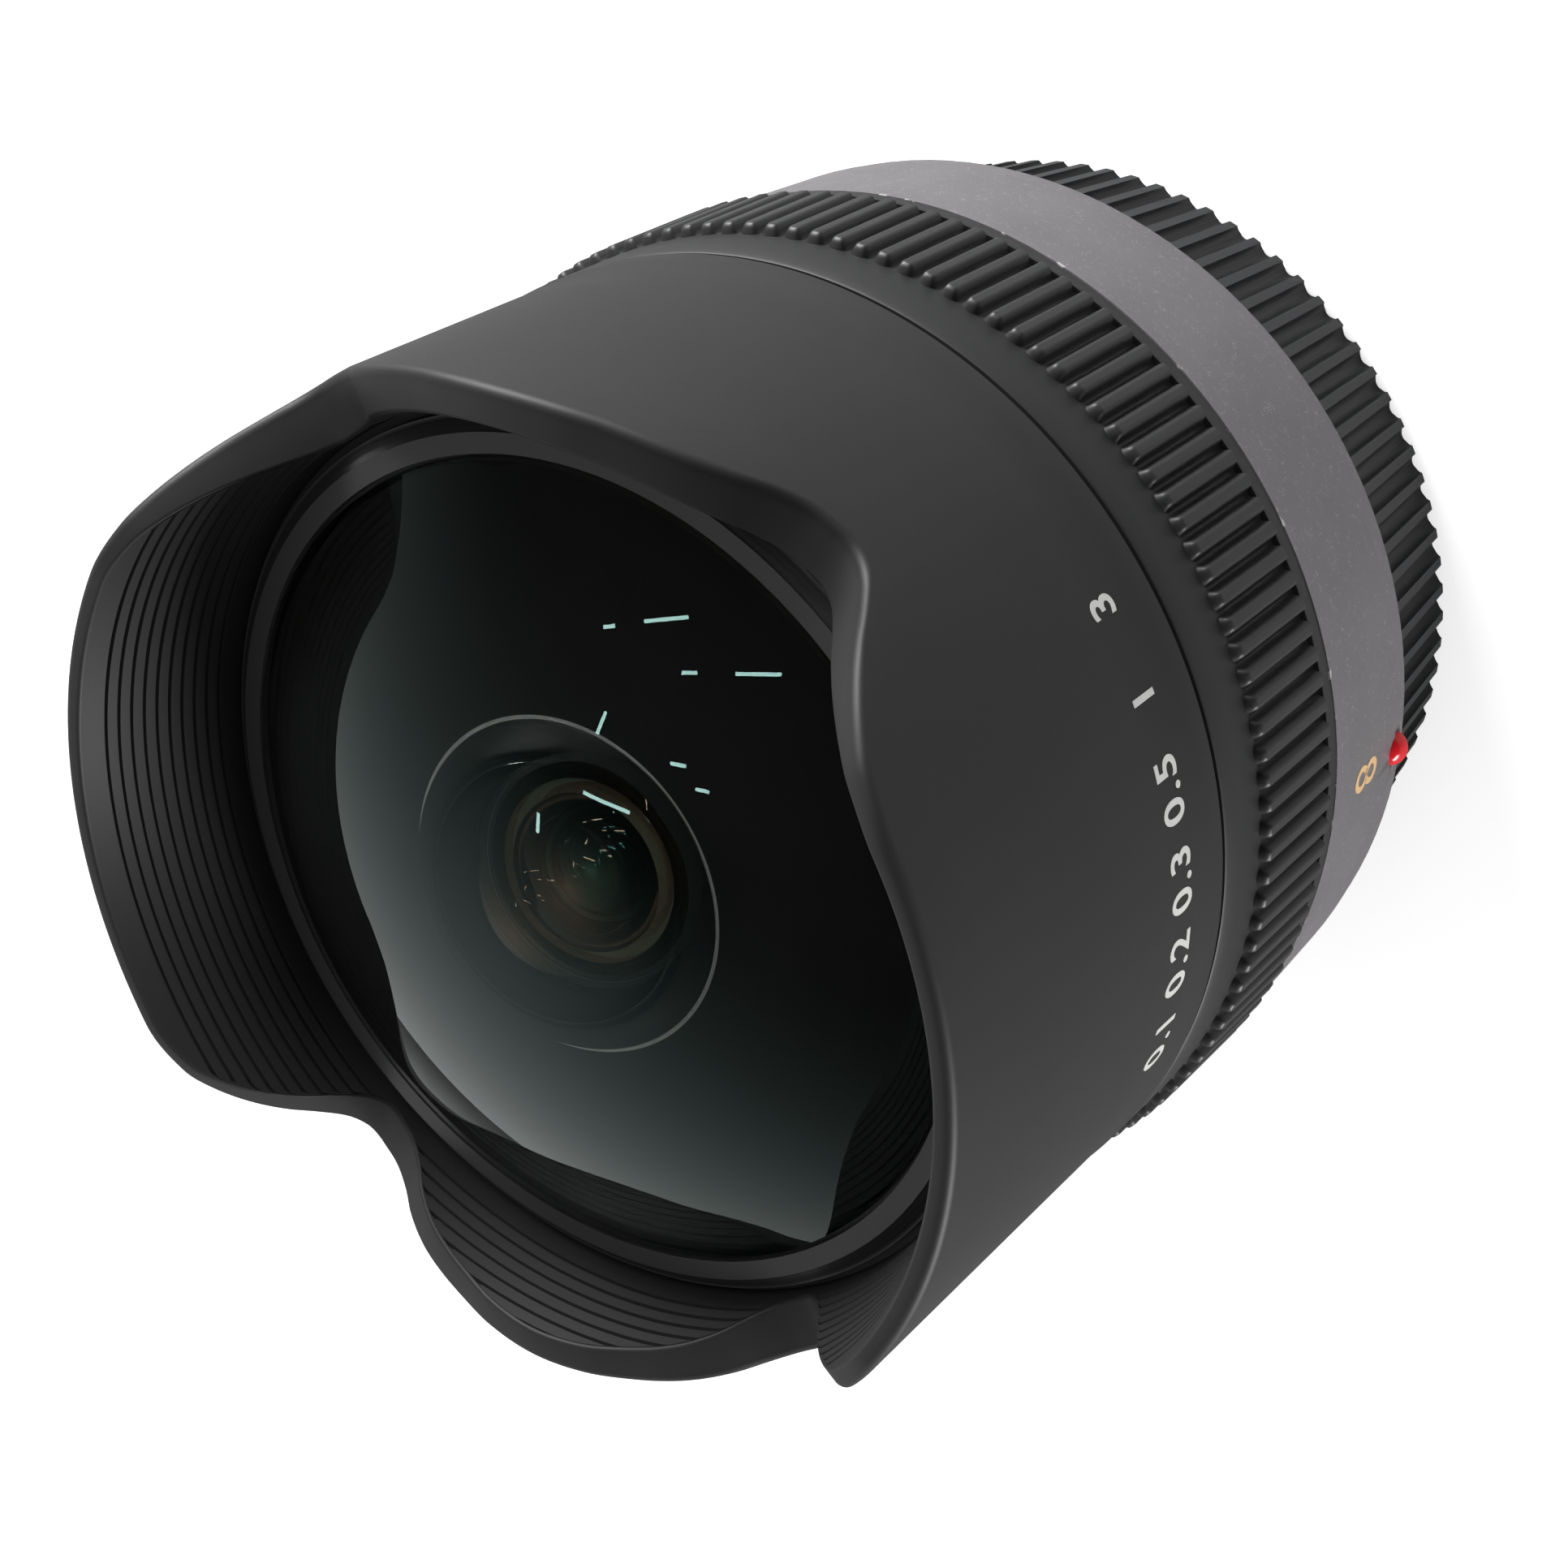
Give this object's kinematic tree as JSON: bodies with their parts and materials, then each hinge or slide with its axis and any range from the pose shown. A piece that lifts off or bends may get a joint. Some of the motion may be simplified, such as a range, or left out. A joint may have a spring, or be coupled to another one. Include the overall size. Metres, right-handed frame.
{
  "type": "fisheye lens",
  "caption": "Compact fisheye camera lens with a fixed petal hood, a ribbed focus ring, a bayonet mount with contacts and a push-on rear cap.",
  "frame": {"origin": "centre of the mount's flange face, the back face of bayonet_mount's flange", "axes": "+Z along the optical axis towards the front glass, +Y towards the index dot"},
  "size_m": [0.0606, 0.0606, 0.0632],
  "materials": {
    "hood_paint": "fine matte dark grey coating",
    "ring_rubber": "satin black moulded grip",
    "silver_paint": "warm grey paint with fine speckle",
    "cap_plastic": "satin black plastic",
    "mount_chrome": "polished plate",
    "front_glass": "coated glass, green-grey reflection",
    "inner_glass": "coated glass",
    "trim_black": "satin black ring",
    "inner_black": "flocked matte black",
    "steel": "bright steel",
    "brass": "plain brass",
    "dot_red": "glossy red enamel",
    "circuit": "green solder mask",
    "slip": "natural nylon",
    "contact_gold": "gold plate",
    "seal": "black rubber",
    "flex": "amber film"
  },
  "bodies": {
    "barrel": {"hood_barrel": "hood_paint", "front_glass_ring": "trim_black", "front_seal": "seal", "front_element": "front_glass", "front_cell": "inner_black", "spacer_2_3": "inner_black", "spacer_3_4": "inner_black", "spacer_4_5": "inner_black", "cell_screws": "steel", "washer_back": "slip", "washer_front": "slip", "chassis_tube": "inner_black", "ring_sensor": "circuit", "silver_barrel": "silver_paint", "index_dot": "dot_red", "barrel_screws": "steel", "main_board": "circuit", "rear_cell": "inner_black", "rear_cell_ring": "inner_black", "main_rod": "steel", "side_rod": "steel", "focus_motor": "steel", "iris_base": "inner_black", "iris_cover": "inner_black", "iris_motor": "steel", "iris_screws": "steel", "flex_cable": "flex", "bayonet_mount": "mount_chrome", "mount_screws": "steel", "contact_block": "inner_black", "contact_pins": "contact_gold", "rear_baffle": "inner_black", "filter_holder": "inner_black", "element_2": "inner_glass", "element_3": "inner_glass", "element_4": "inner_glass", "element_5": "inner_glass", "element_6": "inner_glass", "element_9": "inner_glass", "element_10": "inner_glass"},
    "focus_ring": {"focus_ring": "ring_rubber", "encoder_strip": "steel"},
    "focus_carrier": {"focus_carrier": "inner_black", "element_7": "inner_glass", "element_8": "inner_glass", "carrier_nut": "slip"},
    "lead_screw": {"lead_screw": "steel"},
    "iris_ring": {"iris_ring": "slip"},
    "iris_pinion": {"iris_pinion": "brass"},
    "rear_cap": {"rear_cap": "cap_plastic"},
    "iris_blade_1": {"iris_blade_1": "inner_black"},
    "iris_blade_2": {"iris_blade_2": "inner_black"},
    "iris_blade_3": {"iris_blade_3": "inner_black"},
    "iris_blade_4": {"iris_blade_4": "inner_black"},
    "iris_blade_5": {"iris_blade_5": "inner_black"},
    "iris_blade_6": {"iris_blade_6": "inner_black"},
    "iris_blade_7": {"iris_blade_7": "inner_black"}
  },
  "joints": [
    {"name": "focus_ring_turn", "type": "hinge", "parent": "barrel", "child": "focus_ring", "pos_m": [0, 0, 0.0183], "axis": [0, 0, 1], "continuous": true},
    {"name": "lead_screw_turn", "type": "hinge", "parent": "barrel", "child": "lead_screw", "pos_m": [0.00714, 0.01342, 0.0064], "axis": [0, 0, -1], "range_deg": [0, 936]},
    {"name": "focus_slide", "type": "slide", "parent": "barrel", "child": "focus_carrier", "axis": [0, 0, 1], "range_m": [0, 0.0026]},
    {"name": "iris_ring_turn", "type": "hinge", "parent": "barrel", "child": "iris_ring", "pos_m": [0, 0, 0.0249], "axis": [0, 0, 1], "range_deg": [0, 30]},
    {"name": "iris_pinion_turn", "type": "hinge", "parent": "barrel", "child": "iris_pinion", "pos_m": [-0.0132, 0, 0.0249], "axis": [0, 0, 1], "range_deg": [-234, 0]},
    {"name": "rear_cap_pull", "type": "slide", "parent": "barrel", "child": "rear_cap", "axis": [0, 0, -1], "range_m": [0, 0.0125]},
    {"name": "iris_blade_1_turn", "type": "hinge", "parent": "barrel", "child": "iris_blade_1", "pos_m": [0.0092, 0, 0.0238], "axis": [0, 0, 1], "range_deg": [0, 24]},
    {"name": "iris_blade_2_turn", "type": "hinge", "parent": "barrel", "child": "iris_blade_2", "pos_m": [0.00574, 0.00719, 0.0238], "axis": [0, 0, 1], "range_deg": [0, 24]},
    {"name": "iris_blade_3_turn", "type": "hinge", "parent": "barrel", "child": "iris_blade_3", "pos_m": [-0.00205, 0.00897, 0.0238], "axis": [0, 0, 1], "range_deg": [0, 24]},
    {"name": "iris_blade_4_turn", "type": "hinge", "parent": "barrel", "child": "iris_blade_4", "pos_m": [-0.00829, 0.00399, 0.0238], "axis": [0, 0, 1], "range_deg": [0, 24]},
    {"name": "iris_blade_5_turn", "type": "hinge", "parent": "barrel", "child": "iris_blade_5", "pos_m": [-0.00829, -0.00399, 0.0238], "axis": [0, 0, 1], "range_deg": [0, 24]},
    {"name": "iris_blade_6_turn", "type": "hinge", "parent": "barrel", "child": "iris_blade_6", "pos_m": [-0.00205, -0.00897, 0.0238], "axis": [0, 0, 1], "range_deg": [0, 24]},
    {"name": "iris_blade_7_turn", "type": "hinge", "parent": "barrel", "child": "iris_blade_7", "pos_m": [0.00574, -0.00719, 0.0238], "axis": [0, 0, 1], "range_deg": [0, 24]}
  ],
  "couplings": [
    {"joint": "lead_screw_turn", "follows": "focus_slide", "rad_per_m": 6283.2},
    {"joint": "iris_pinion_turn", "follows": "iris_ring_turn", "ratio": -7.8},
    {"joint": "iris_blade_1_turn", "follows": "iris_ring_turn", "ratio": 0.8},
    {"joint": "iris_blade_2_turn", "follows": "iris_ring_turn", "ratio": 0.8},
    {"joint": "iris_blade_3_turn", "follows": "iris_ring_turn", "ratio": 0.8},
    {"joint": "iris_blade_4_turn", "follows": "iris_ring_turn", "ratio": 0.8},
    {"joint": "iris_blade_5_turn", "follows": "iris_ring_turn", "ratio": 0.8},
    {"joint": "iris_blade_6_turn", "follows": "iris_ring_turn", "ratio": 0.8},
    {"joint": "iris_blade_7_turn", "follows": "iris_ring_turn", "ratio": 0.8}
  ]
}
